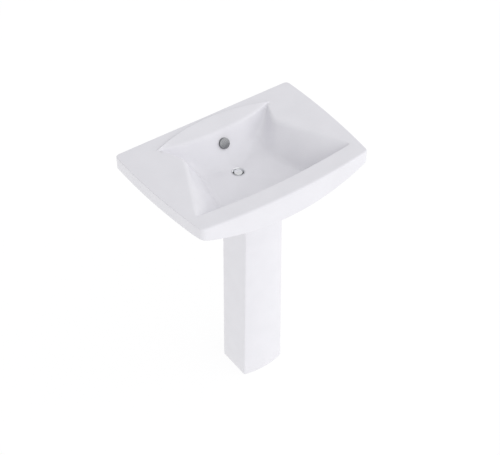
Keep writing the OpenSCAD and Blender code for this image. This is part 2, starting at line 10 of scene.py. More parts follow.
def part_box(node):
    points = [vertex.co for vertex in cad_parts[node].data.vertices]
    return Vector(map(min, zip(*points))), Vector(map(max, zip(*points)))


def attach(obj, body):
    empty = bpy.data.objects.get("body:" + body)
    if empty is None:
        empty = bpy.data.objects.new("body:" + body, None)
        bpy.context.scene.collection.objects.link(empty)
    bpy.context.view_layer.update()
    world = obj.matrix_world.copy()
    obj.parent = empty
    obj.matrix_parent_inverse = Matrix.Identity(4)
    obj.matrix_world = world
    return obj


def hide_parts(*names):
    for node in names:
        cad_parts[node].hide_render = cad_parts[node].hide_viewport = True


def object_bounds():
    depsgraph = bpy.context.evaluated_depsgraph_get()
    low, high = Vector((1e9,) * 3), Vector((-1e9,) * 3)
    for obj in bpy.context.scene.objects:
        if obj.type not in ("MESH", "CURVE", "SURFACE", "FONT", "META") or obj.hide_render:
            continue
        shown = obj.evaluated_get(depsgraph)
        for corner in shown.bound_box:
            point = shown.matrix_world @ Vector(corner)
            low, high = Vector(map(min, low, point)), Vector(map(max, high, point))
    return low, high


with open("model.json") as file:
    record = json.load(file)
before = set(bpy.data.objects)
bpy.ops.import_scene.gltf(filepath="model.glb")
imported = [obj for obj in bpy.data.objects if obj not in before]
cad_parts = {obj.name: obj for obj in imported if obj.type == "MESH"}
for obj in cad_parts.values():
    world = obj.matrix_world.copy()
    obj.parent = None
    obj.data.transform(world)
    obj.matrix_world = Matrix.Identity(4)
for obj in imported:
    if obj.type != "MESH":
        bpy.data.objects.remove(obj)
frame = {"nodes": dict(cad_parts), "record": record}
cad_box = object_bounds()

# The basin's shape is worked out in millimetres: x to the right, d away from the wall and h above the
# rim. row_points() turns that into metres in the row frame.
MM = 0.001
WALL_Y = cad_box[1].y
PLATFORM_RISE = 5.0
RIM_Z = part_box("basin")[1].z - PLATFORM_RISE * MM
BASIN_W = (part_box("basin")[1].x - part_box("basin")[0].x) / MM
BASIN_D = (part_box("basin")[1].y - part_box("basin")[0].y) / MM


def row_points(points):
    """Points of x, -d and h in millimetres, as points of the row frame in metres."""
    out = np.asarray(points, float) * MM
    out[..., 1] += WALL_Y
    out[..., 2] += RIM_Z
    return out


# ---------------------------------------------------------------- camera, lights and floor

# Fitted to the photograph's outline: angles in degrees, place in metres, lens and sensor in millimetres
CAMERA_AZIMUTH, CAMERA_ELEVATION = 36.21, 42.37
CAMERA_PLACE = (-1.5621, -2.1485, 2.9897)
CAMERA_LENS, CAMERA_SENSOR = 83.1, 36.0


def make_camera():
    """The photograph's place, seen from the left front and above."""
    azimuth, elevation = math.radians(CAMERA_AZIMUTH), math.radians(CAMERA_ELEVATION)
    forward = Vector((math.sin(azimuth) * math.cos(elevation),
                      math.cos(azimuth) * math.cos(elevation), -math.sin(elevation)))
    data = bpy.data.cameras.new("camera")
    data.sensor_width = CAMERA_SENSOR
    data.lens = CAMERA_LENS
    data.clip_start, data.clip_end = 0.05, 60.0
    camera = bpy.data.objects.new("camera", data)
    camera.location = CAMERA_PLACE
    camera.rotation_mode = "QUATERNION"
    camera.rotation_quaternion = forward.to_track_quat("-Z", "Y")
    bpy.context.scene.collection.objects.link(camera)
    bpy.context.scene.camera = camera


def area_light(name, place, target, size, power):
    """A square softbox of that side length in metres, aimed at target."""
    data = bpy.data.lights.new(name, "AREA")
    data.shape = "SQUARE"
    data.size = size
    data.energy = power
    light = bpy.data.objects.new(name, data)
    light.location = place
    light.rotation_mode = "QUATERNION"
    light.rotation_quaternion = (Vector(target) - Vector(place)).to_track_quat("-Z", "Y")
    bpy.context.scene.collection.objects.link(light)


def make_world(level, to_right, to_front, to_top):
    """A pale surround, brighter to the right and the front and dimmer overhead, that looks white itself."""
    world = bpy.data.worlds.new("surround")
    world.use_nodes = True
    nodes, links = world.node_tree.nodes, world.node_tree.links
    nodes.clear()
    place = nodes.new("ShaderNodeTexCoord")
    lean = nodes.new("ShaderNodeVectorMath")
    lean.operation = "DOT_PRODUCT"
    lean.inputs[1].default_value = (to_right, -to_front, to_top)
    strength = nodes.new("ShaderNodeMath")
    strength.operation = "ADD"
    strength.inputs[1].default_value = level
    ambient = nodes.new("ShaderNodeBackground")
    ambient.inputs["Color"].default_value = (0.99, 0.99, 1.0, 1.0)
    path = nodes.new("ShaderNodeLightPath")
    seen = nodes.new("ShaderNodeBackground")
    seen.inputs["Color"].default_value = (1.0, 1.0, 1.0, 1.0)
    mix = nodes.new("ShaderNodeMixShader")
    out = nodes.new("ShaderNodeOutputWorld")
    links.new(place.outputs["Generated"], lean.inputs[0])
    links.new(lean.outputs["Value"], strength.inputs[0])
    links.new(strength.outputs["Value"], ambient.inputs["Strength"])
    links.new(path.outputs["Is Camera Ray"], mix.inputs["Fac"])
    links.new(ambient.outputs[0], mix.inputs[1])
    links.new(seen.outputs[0], mix.inputs[2])
    links.new(mix.outputs[0], out.inputs["Surface"])
    bpy.context.scene.world = world


def make_floor(half, glow, diffuse):
    """A plain white floor that is mostly its own light, so that it stays as pale as a lit sweep."""
    mesh = bpy.data.meshes.new("floor")
    mesh.from_pydata([(-half, -half, 0), (half, -half, 0), (half, half, 0), (-half, half, 0)], [],
                     [(0, 1, 2, 3)])
    floor = bpy.data.objects.new("floor", mesh)
    bpy.context.scene.collection.objects.link(floor)
    material = bpy.data.materials.new("floor")
    material.use_nodes = True
    shader = material.node_tree.nodes["Principled BSDF"]
    shader.inputs["Base Color"].default_value = (diffuse, diffuse, diffuse, 1.0)
    shader.inputs["Roughness"].default_value = 0.9
    shader.inputs["Specular IOR Level"].default_value = 0.0
    shader.inputs["Emission Color"].default_value = (1.0, 1.0, 1.0, 1.0)
    shader.inputs["Emission Strength"].default_value = glow
    mesh.materials.append(material)


# ---------------------------------------------------------------- materials

# The stretch of a noise's values over which a colour or a roughness runs from low to high
NOISE_LOW, NOISE_HIGH = 0.3, 0.7


def material(name, metallic=0.0, **sockets):
    """A new node material, with the sockets that are the same all over the surface."""
    made = bpy.data.materials.new(name)
    made.use_nodes = True
    shader = made.node_tree.nodes["Principled BSDF"]
    shader.inputs["Metallic"].default_value = metallic
    for socket, value in sockets.items():
        shader.inputs[socket.replace("_", " ")].default_value = value
    return made


def add_noise(made, scale, detail=4.0, stretch=(1.0, 1.0, 1.0)):
    """Noise over the object's own coordinates; scale is in features per metre."""
    nodes, links = made.node_tree.nodes, made.node_tree.links
    place = nodes.new("ShaderNodeTexCoord")
    mapping = nodes.new("ShaderNodeMapping")
    mapping.inputs["Scale"].default_value = stretch
    noise = nodes.new("ShaderNodeTexNoise")
    noise.inputs["Scale"].default_value = scale
    noise.inputs["Detail"].default_value = detail
    links.new(place.outputs["Object"], mapping.inputs["Vector"])
    links.new(mapping.outputs["Vector"], noise.inputs["Vector"])
    return noise.outputs["Fac"]


def colour_from(made, factor, low, high):
    """Base colour that runs from low to high with the factor."""
    nodes, links = made.node_tree.nodes, made.node_tree.links
    ramp = nodes.new("ShaderNodeValToRGB")
    ramp.color_ramp.elements[0].position = NOISE_LOW
    ramp.color_ramp.elements[0].color = (*low, 1.0)
    ramp.color_ramp.elements[1].position = NOISE_HIGH
    ramp.color_ramp.elements[1].color = (*high, 1.0)
    links.new(factor, ramp.inputs["Fac"])
    links.new(ramp.outputs["Color"], nodes["Principled BSDF"].inputs["Base Color"])


def roughness_from(made, factor, low, high):
    """Roughness that runs from low to high with the factor."""
    nodes, links = made.node_tree.nodes, made.node_tree.links
    spread = nodes.new("ShaderNodeMapRange")
    spread.inputs["From Min"].default_value = NOISE_LOW
    spread.inputs["From Max"].default_value = NOISE_HIGH
    spread.inputs["To Min"].default_value = low
    spread.inputs["To Max"].default_value = high
    links.new(factor, spread.inputs["Value"])
    links.new(spread.outputs["Result"], nodes["Principled BSDF"].inputs["Roughness"])


def bump_from(made, factor, height, strength):
    """A bump of that height in metres, at that share of its full strength."""
    nodes, links = made.node_tree.nodes, made.node_tree.links
    bump = nodes.new("ShaderNodeBump")
    bump.inputs["Strength"].default_value = strength
    bump.inputs["Distance"].default_value = height
    links.new(factor, bump.inputs["Height"])
    links.new(bump.outputs["Normal"], nodes["Principled BSDF"].inputs["Normal"])


def make_china():
    """White vitreous china: slightly uneven body colour under a clear glaze with a faint orange peel."""
    made = material("china", Coat_Weight=0.5, Coat_Roughness=0.06, Coat_IOR=1.5, Specular_IOR_Level=0.25)
    colour_from(made, add_noise(made, 14.0, 3.0), (0.794, 0.788, 0.825), (0.820, 0.814, 0.851))
    roughness_from(made, add_noise(made, 40.0, 4.0), 0.28, 0.4)
    bump_from(made, add_noise(made, 260.0, 2.0), 0.0001, 0.08)
    return made


def make_chrome():
    """Polished chrome plate with faint water haze and wiping marks."""
    made = material("chrome", metallic=1.0)
    colour_from(made, add_noise(made, 30.0), (0.80, 0.81, 0.83), (0.88, 0.89, 0.90))
    roughness_from(made, add_noise(made, 120.0, 6.0, (1.0, 1.0, 6.0)), 0.04, 0.14)
    bump_from(made, add_noise(made, 900.0, 3.0, (1.0, 1.0, 8.0)), 0.00002, 0.1)
    return made


def make_spring_steel():
    """Drawn wire with fine lines along it."""
    made = material("spring_steel", metallic=1.0)
    colour_from(made, add_noise(made, 400.0), (0.42, 0.42, 0.44), (0.62, 0.62, 0.64))
    roughness_from(made, add_noise(made, 900.0), 0.25, 0.4)
    bump_from(made, add_noise(made, 3000.0), 0.00002, 0.2)
    return made


def make_rubber():
    """Black moulded rubber with a dusty bloom."""
    made = material("rubber", Specular_IOR_Level=0.35)
    colour_from(made, add_noise(made, 220.0, 6.0), (0.022, 0.022, 0.024), (0.06, 0.06, 0.063))
    roughness_from(made, add_noise(made, 300.0), 0.6, 0.85)
    bump_from(made, add_noise(made, 1400.0), 0.00006, 0.4)
    return made


def make_nylon():
    """Natural nylon, slightly waxy, with a fine moulded grain."""
    made = material("nylon", Specular_IOR_Level=0.45, Subsurface_Weight=0.1)
    colour_from(made, add_noise(made, 120.0), (0.74, 0.735, 0.7), (0.84, 0.835, 0.8))
    roughness_from(made, add_noise(made, 250.0), 0.4, 0.55)
    bump_from(made, add_noise(made, 1600.0), 0.00004, 0.3)
    return made


def make_satin_painted_shade():
    """Satin chrome of the overflow trim, finely brushed, its base colour darkened as painted shade so that
    it reflects the pale surround as grey.
    """
    made = material("satin_chrome_painted_shade", metallic=1.0)
    # painted shade: a far darker base colour than the other chrome's, standing in for a dim grey reflection
    colour_from(made, add_noise(made, 30.0), (0.265, 0.27, 0.28), (0.315, 0.32, 0.33))
    roughness_from(made, add_noise(made, 160.0, 6.0, (1.0, 5.0, 5.0)), 0.2, 0.32)
    bump_from(made, add_noise(made, 900.0, 3.0, (1.0, 8.0, 8.0)), 0.00002, 0.15)
    return made


MATERIALS = {"china": make_china(), "chrome": make_chrome(), "satin_painted_shade": make_satin_painted_shade(),
             "spring_steel": make_spring_steel(), "rubber": make_rubber(), "nylon": make_nylon()}


# ---------------------------------------------------------------- mesh tools

# In degrees: edges that are shaded sharp, and edges that bevelled() rounds
SHARP_ANGLE, BEVEL_ANGLE = 32.0, 25.0
MERGE_DISTANCE = 1e-7
TURN_SEGMENTS, ROD_SEGMENTS, CORNER_POINTS = 128, 96, 4


def add_piece(name, mesh, body, slot, nodes, finish=None):
    """Puts a mesh in the scene in place of those CAD nodes; finish is its look, if not the slot's own."""
    mesh.materials.clear()
    mesh.materials.append(MATERIALS[finish or slot])
    mesh.shade_smooth()
    mesh.set_sharp_from_angle(angle=math.radians(SHARP_ANGLE))
    piece = bpy.data.objects.new(name, mesh)
    bpy.context.scene.collection.objects.link(piece)
    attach(piece, body)
    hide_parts(*nodes)


def grid_faces(rows, columns, close_rows, first=0):
    """Quads over closed rows of points stored one after the other, from point first on."""
    faces = []
    for k in range(rows if close_rows else rows - 1):
        for i in range(columns):
            j, q = (i + 1) % columns, (k + 1) % rows
            faces.append((first + k * columns + i, first + k * columns + j,
                          first + q * columns + j, first + q * columns + i))
    return faces


def capped(loops):
    """Points and faces of a body that runs through closed loops of points, with both ends shut."""
    count = len(loops[0])
    last = (len(loops) - 1) * count
    faces = grid_faces(len(loops), count, False)
    faces += [tuple(range(count))[::-1], tuple(range(last, last + count))]
    return np.concatenate(loops), faces


def mesh_of(name, points, faces):
    """A mesh without doubled points or loose edges, its normals turned outwards."""
    mesh = bpy.data.meshes.new(name)
    mesh.from_pydata([tuple(p) for p in points], [], faces)
    work = bmesh.new()
    work.from_mesh(mesh)
    bmesh.ops.remove_doubles(work, verts=work.verts, dist=MERGE_DISTANCE)
    bmesh.ops.delete(work, geom=[e for e in work.edges if not e.link_faces], context="EDGES")
    bmesh.ops.recalc_face_normals(work, faces=work.faces)
    work.to_mesh(mesh)
    work.free()
    return mesh


def combine(base, cutter, operation):
    """The base mesh after one boolean with the cutter mesh."""
    holders = []
    for mesh in (base, cutter):
        holder = bpy.data.objects.new("holder", mesh)
        bpy.context.scene.collection.objects.link(holder)
        holders.append(holder)
    boolean = holders[0].modifiers.new("boolean", "BOOLEAN")
    boolean.object = holders[1]
    boolean.operation = operation
    boolean.solver = "EXACT"
    graph = bpy.context.evaluated_depsgraph_get()
    result = bpy.data.meshes.new_from_object(holders[0].evaluated_get(graph))
    for holder in holders:
        bpy.data.objects.remove(holder)
    return result


def ring(radius, height, segments):
    """A circle round the Z axis."""
    angles = np.linspace(0, 2 * math.pi, segments, endpoint=False)
    return lift(np.stack([radius * np.cos(angles), radius * np.sin(angles)], axis=1), height)


def lathe(profile):
    """Points and faces of a closed profile of (radius, height) turned round the Z axis."""
    rings = [ring(radius, height, TURN_SEGMENTS) for radius, height in profile]
    return np.concatenate(rings), grid_faces(len(profile), TURN_SEGMENTS, True)


# ---------------------------------------------------------------- curves of the basin's plan

# The outline: side arcs, widest at WIDEST_D, and a front arc out to CORNER_X, with rounded corners
WIDEST_D = 100.0
SIDE_R, FRONT_R = 2155.0, 2076.0
BACK_CORNER, FRONT_CORNER = 15.0, 14.0
CORNER_X = 298.0
# The crescent platform's tips, and its front and back edges where x is 0
TIP_D, TIP_X, TIP_ROUND = 56.0, 199.0, 5.0
CRESCENT_FRONT_D, CRESCENT_BACK_D = 84.3, 14.4
# The rim's sides: narrowest near the waist, flaring from there to the back and to the front
WAIST_D, WAIST_X, WAIST_ROUND = 131.0, 152.3, 13.0
FLARE_BACK, FLARE_FRONT = 0.6, 0.537
# The rim's front edge, an arc between the ledge's corners
LEDGE_D, LEDGE_CORNER_D, LEDGE_CORNER_X, LEDGE_ROUND = 381.0, 364.0, 275.0, 8.0
# The foot of the walls: straight at the back and the sides, an arc in front
FOOT_BACK_D, FOOT_BACK_X, FOOT_ROUND = 128.5, 102.0, 22.0
FOOT_FRONT_D, FOOT_CORNER_D, FOOT_CORNER_X = 362.0, 352.0, 164.0
# Depths below the rim of the walls' foot and of the bowl at its drain
FOOT_DEPTH, BOWL_DEPTH = 87.0, 98.5
# The flat base of the underside
BASE_DEPTH, BASE_BACK_D, BASE_FRONT_D, BASE_X, BASE_ROUND = 132.0, 130.0, 340.0, 102.0, 30.0
# Height of the outer face at the sides and in the middle of the front. At the front corners it is
# FACE_DROP less than at the sides, which lose it over DROP_OVER from DROP_FROM_D on
SIDE_T, BELLY_T = 44.0, 86.0
FACE_DROP, DROP_FROM_D, DROP_OVER = 4.0, 380.0, 40.0
# The drain's place, the recess that its flange lies in, and its bore
DRAIN_D, RECESS_R, RECESS_DEPTH, BORE_R = 177.0, 20.6, 3.0, 17.5
# How far the sealed hollow keeps from the skin
WALL = 11.0
# The underside's curve, and the rounding between it and the outer face
HULL_POWER, EDGE_ROUND = 1.7, 5.0

# Stations along half a loop: the back, each corner, the side and the front
BACK_STEPS, CORNER_STEPS, SIDE_STEPS, FRONT_STEPS = 44, 10, 56, 56
SIDE_FIRST = BACK_STEPS + CORNER_STEPS
SIDE_LAST = SIDE_FIRST + SIDE_STEPS
FRONT_FIRST = SIDE_LAST + CORNER_STEPS
# Rows across the stretches of the skin, from the drain out and round to the base
FLOOR_ROWS, FOOT_ROWS, WALL_ROWS, RIM_ROWS, PLATFORM_ROWS = 14, 12, 16, 8, 6
CREST_ROWS, STEP_ROWS, EDGE_ROWS, FACE_ROWS, LOW_EDGE_ROWS, HULL_ROWS = 5, 4, 9, 4, 7, 22


def sagitta(r, x):
    """How far an arc of radius r has fallen back at x from its middle."""
    return r - np.sqrt(r * r - x * x)


def arc_through(half, sag):
    """Radius of the arc with that half chord and that sagitta."""
    return (half * half + sag * sag) / (2 * sag)


def side_x(d):
    """Half the outline's width at d."""
    return BASIN_W / 2 - sagitta(SIDE_R, d - WIDEST_D)


def front_d(x):
    """The outline's front edge at x."""
    return BASIN_D - sagitta(FRONT_R, x)


def rim_side_x(d):
    """The rim's side at d, a hyperbola whose vertex is near the waist."""
    mean = (FLARE_FRONT - FLARE_BACK) / 2
    half = (FLARE_FRONT + FLARE_BACK) / 2
    return WAIST_X + mean * (d - WAIST_D) + np.hypot(half * (d - WAIST_D), WAIST_ROUND)


def steps(n):
    """0 to 1 in n even steps."""
    return np.linspace(0.0, 1.0, n + 1)


def mix(a, b, t):
    """a where t is 0, b where t is 1."""
    return a + (b - a) * t


def bend(a, b, c, n):
    """The corner b rounded between a and c as a short parabola, n + 1 points or rows of points."""
    return [(1 - t) ** 2 * a + 2 * t * (1 - t) * b + t * t * c for t in steps(n)]


def plan(x, d):
    """Plan points from arrays of x and d."""
    x, d = np.broadcast_arrays(np.asarray(x, float), np.asarray(d, float))
    return np.stack([x, -d], axis=-1)


def loop_of(back, back_corner, side, front_corner, front):
    """A loop of stations: back, side and front stretches with rounded corners, then their mirror."""
    first = bend(back[-1], np.array(back_corner), side[0], CORNER_STEPS)[1:-1]
    second = bend(side[-1], np.array(front_corner), front[0], CORNER_STEPS)[1:-1]
    half = np.concatenate([back, first, side, second, front])
    mirror = half[-2:0:-1] * np.array([-1.0, 1.0])
    return np.concatenate([half, mirror])


def outline_loop():
    """The basin's outer edge."""
    corner_d = front_d(CORNER_X)
    side_d = mix(BACK_CORNER, corner_d - FRONT_CORNER, steps(SIDE_STEPS))
    front_x = mix(CORNER_X - FRONT_CORNER, 0, steps(FRONT_STEPS))
    return loop_of(plan(mix(0, side_x(0) - BACK_CORNER, steps(BACK_STEPS)), 0), (side_x(0), 0),
                   plan(side_x(side_d), side_d), (CORNER_X, -corner_d), plan(front_x, front_d(front_x)))


def rim_loop():
    """The bowl's rim, where the walls meet the platform, the deck and the ledge."""
    back_r = arc_through(TIP_X, CRESCENT_FRONT_D - TIP_D)
    ledge_r = arc_through(LEDGE_CORNER_X, LEDGE_D - LEDGE_CORNER_D)
    back_x = mix(0, TIP_X - TIP_ROUND, steps(BACK_STEPS))
    side_d = mix(TIP_D + TIP_ROUND, LEDGE_CORNER_D - LEDGE_ROUND, steps(SIDE_STEPS))
    front_x = mix(LEDGE_CORNER_X - LEDGE_ROUND, 0, steps(FRONT_STEPS))
    return loop_of(plan(back_x, CRESCENT_FRONT_D - sagitta(back_r, back_x)), (TIP_X, -TIP_D),
                   plan(rim_side_x(side_d), side_d), (rim_side_x(LEDGE_CORNER_D), -LEDGE_CORNER_D),
                   plan(front_x, LEDGE_D - sagitta(ledge_r, front_x)))


def crest_loop():
    """Back edge of the crescent platform; past its tips a line on the deck between rim and outline."""
    back_r = arc_through(TIP_X, TIP_D - CRESCENT_BACK_D)
    away = np.linalg.norm(OUTLINE - RIM, axis=1)
    distance = mix(CREST_TIP, CREST_SHARE * away, between(SIDE_FIRST, SIDE_FIRST + 12))
    crest = toward(RIM, OUTLINE, distance)
    back = FROM_BACK <= BACK_STEPS
    x = np.clip(RIM[:, 0], -TIP_X, TIP_X)
    crest[back] = plan(x, CRESCENT_BACK_D + sagitta(back_r, x))[back]
    return crest


def foot_loop():
    """Where the walls meet the bowl's floor."""
    foot_r = arc_through(FOOT_CORNER_X, FOOT_FRONT_D - FOOT_CORNER_D)
    side_d = mix(FOOT_BACK_D + FOOT_ROUND, FOOT_CORNER_D - FOOT_ROUND, steps(SIDE_STEPS))
    share = (side_d - FOOT_BACK_D) / (FOOT_CORNER_D - FOOT_BACK_D)
    front_x = mix(FOOT_CORNER_X - FOOT_ROUND, 0, steps(FRONT_STEPS))
    return loop_of(plan(mix(0, FOOT_BACK_X - FOOT_ROUND, steps(BACK_STEPS)), FOOT_BACK_D),
                   (FOOT_BACK_X, -FOOT_BACK_D), plan(mix(FOOT_BACK_X, FOOT_CORNER_X, share), side_d),
                   (FOOT_CORNER_X, -FOOT_CORNER_D), plan(front_x, FOOT_FRONT_D - sagitta(foot_r, front_x)))


def base_loop():
    """The edge of the flat base."""
    side_d = mix(BASE_BACK_D + BASE_ROUND, BASE_FRONT_D - BASE_ROUND, steps(SIDE_STEPS))
    return loop_of(plan(mix(0, BASE_X - BASE_ROUND, steps(BACK_STEPS)), BASE_BACK_D),
                   (BASE_X, -BASE_BACK_D), plan(BASE_X, side_d), (BASE_X, -BASE_FRONT_D),
                   plan(mix(BASE_X - BASE_ROUND, 0, steps(FRONT_STEPS)), BASE_FRONT_D))


OUTLINE, RIM, FOOT, BASE = outline_loop(), rim_loop(), foot_loop(), base_loop()
COUNT = len(OUTLINE)
FROM_BACK = np.minimum(np.arange(COUNT), COUNT - np.arange(COUNT))


def lift(loop, h):
    """A plan loop at a height, as rows of three."""
    return np.column_stack([loop, np.broadcast_to(h, len(loop))])


def toward(start, end, distance):
    """Points a distance along from each start to each end; distance may differ by station."""
    step = end - start
    return start + step * (np.asarray(distance) / np.linalg.norm(step, axis=1))[..., None]


def inset(loop, distance):
    """The loop drawn in along its own normals."""
    along = np.roll(loop, -1, axis=0) - np.roll(loop, 1, axis=0)
    normal = np.column_stack([along[:, 1], -along[:, 0]]) / np.linalg.norm(along, axis=1)[:, None]
    return loop + distance * normal


def ease(t):
    """0 to 1 with level ends."""
    t = np.clip(t, 0.0, 1.0)
    return t * t * (3 - 2 * t)


def between(first, last):
    """0 to 1 from one station to another, counted from the middle of the back on both sides."""
    return ease((FROM_BACK - first) / (last - first))


def face_height():
    """Height of the outer face at each station: even at the back and sides, an arc across the front."""
    front_r = arc_through(CORNER_X, BELLY_T - SIDE_T + FACE_DROP)
    x, d = OUTLINE[:, 0], -OUTLINE[:, 1]
    front = np.maximum(SIDE_T - FACE_DROP, BELLY_T - sagitta(front_r, np.clip(x, -CORNER_X, CORNER_X)))
    side = SIDE_T - FACE_DROP * np.clip(d - DROP_FROM_D, 0, None) / DROP_OVER
    return np.where(d > front_d(CORNER_X) - FRONT_CORNER, front, side)


FACE_T = face_height()
DRAIN = np.array([0.0, -DRAIN_D])


def drain_ring(radius, h):
    """A circle round the drain, its points in the stations' directions."""
    away = FOOT - DRAIN
    return lift(DRAIN + radius * away / np.linalg.norm(away, axis=1)[:, None], h)


def hull_row(share, raise_by, skin):
    """One row of the underside, from the outer face's lower edge (0) in to the flat base (1)."""
    start = inset(OUTLINE, EDGE_ROUND + skin)
    h = mix(-FACE_T, -BASE_DEPTH, 1 - (1 - share) ** HULL_POWER)
    return lift(mix(start, BASE, share), h + raise_by)


def soften(row, spread):
    """The row rounded along its length by a bell curve of that spread, unless it is next to nothing."""
    if spread < SPREAD_LEAST:
        return row
    step = np.linalg.norm(np.roll(row, -1, axis=0) - row, axis=1)
    place = np.concatenate([[0.0], np.cumsum(step)[:-1]])
    away = np.abs(place[:, None] - place[None, :])
    away = np.minimum(away, step.sum() - away)
    bell = np.exp(-0.5 * (away / spread) ** 2) * (step + np.roll(step, 1)) / 2
    return bell @ row / bell.sum(axis=1)[:, None]


# Past the platform's tips its back edge runs on over the deck: this far from the rim at the tip, and at
# this share of the deck's width along the sides
CREST_TIP, CREST_SHARE = 5.0, 0.6
CREST = crest_loop()
# How far the platform's back edge slopes out to the deck, and the rounding of that edge
PLATFORM_SLOPE, PLATFORM_ROUND = 8.0, 1.4
# Tangent lengths of the rim's rounding: behind the bowl, round the tips, along the sides and the ledge
RIM_BACK, RIM_TIP, RIM_SIDE, RIM_LEDGE = 9.0, 3.0, 12.0, 3.5
# How far the knee of the side walls stands out from the line between rim and foot, and from where to where
SWELL, SWELL_FROM, SWELL_TO = 14.0, 170.0, 265.0
# Tangent lengths of the fillet at the foot of the walls
FOOT_BLEND_BACK, FOOT_BLEND_SIDE, FOOT_BLEND_FRONT = 70.0, 17.0, 20.0
# How far the floor's rows and the walls' are smoothed along their length; below SPREAD_LEAST they aren't
FOOT_SPREAD, WALL_SPREAD, SPREAD_LEAST = 9.0, 14.0, 0.5
# The floor falls by up to DISH_STEP more inside a ring of this radius and width round the drain
DISH_R, DISH_WIDTH, DISH_STEP = 42.0, 18.0, 1.0
# Roundings of the deck's outer edge, of the recess's inner corner and of the recess's edge
DECK_EDGE_SIDE, DECK_EDGE_FRONT = 3.0, 9.0
RECESS_ROUND, RECESS_EDGE_OUT, RECESS_EDGE_DOWN = 0.8, 1.4, 1.0
# No rounding takes more than these shares of the stretch beside it
FOOT_LIMIT, RIM_LIMIT, DECK_LIMIT, STEP_LIMIT = 0.8, 0.4, 0.65, 0.2
# The sealed hollow's corners as shares of WALL, their rounding as a share of the stretches beside it
HOLLOW_SIDE, HOLLOW_RIM, HOLLOW_FOOT, HOLLOW_CORNER = 0.6, 1.3, 0.6, 0.1
# The hollow's rows along the underside, and its radius round the drain
HOLLOW_ROWS, HOLLOW_DRAIN_R = 8, 22.0


def foot_blend():
    """Tangent length of the fillet at the foot of the walls, by station."""
    to_side = between(BACK_STEPS - 10, SIDE_FIRST + 4)
    to_front = between(SIDE_LAST - 2, FRONT_FIRST + 2)
    return mix(mix(FOOT_BLEND_BACK, FOOT_BLEND_SIDE, to_side), FOOT_BLEND_FRONT, to_front)


def rim_blend():
    """Tangent length of the rim's rounding, by station."""
    to_tip = between(BACK_STEPS - 16, BACK_STEPS)
    to_side = between(SIDE_FIRST, SIDE_FIRST + 8)
    to_ledge = between(SIDE_LAST - 6, FRONT_FIRST)
    return mix(mix(mix(RIM_BACK, RIM_TIP, to_tip), RIM_SIDE, to_side), RIM_LEDGE, to_ledge)


def knee_of(foot, rim):
    """The knee of the wall at each station; on the line from foot to rim where there is no swell."""
    start = ease((-RIM[:, 1] - SWELL_FROM) / (SWELL_TO - SWELL_FROM))
    stop = 1 - between(SIDE_LAST - 8, FRONT_FIRST)
    length = np.linalg.norm(rim - foot, axis=1)
    out = (rim - foot) / length[:, None]
    level = np.linalg.norm(out[:, :2], axis=1)
    upright = np.column_stack([-out[:, :2] * (out[:, 2] / level)[:, None], level])
    middle = toward(foot, rim, (length + foot_blend() - rim_blend()) / 2)
    return middle + SWELL * (start * stop)[:, None] * upright


def floor_row(drain, foot_a, t):
    """A row of the bowl's floor, which falls a little faster close to the drain."""
    row = mix(drain, foot_a, t)
    away = np.linalg.norm(row[:, :2] - DRAIN, axis=1)
    row[:, 2] += DISH_STEP * ease((away - DISH_R) / DISH_WIDTH) * (1 - t)
    return soften(row, FOOT_SPREAD * t)


def edge_rows(before, corner, after, distance, n):
    """A corner between three rows rounded over that distance to both sides."""
    return bend(toward(corner, before, distance), corner, toward(corner, after, distance), n)


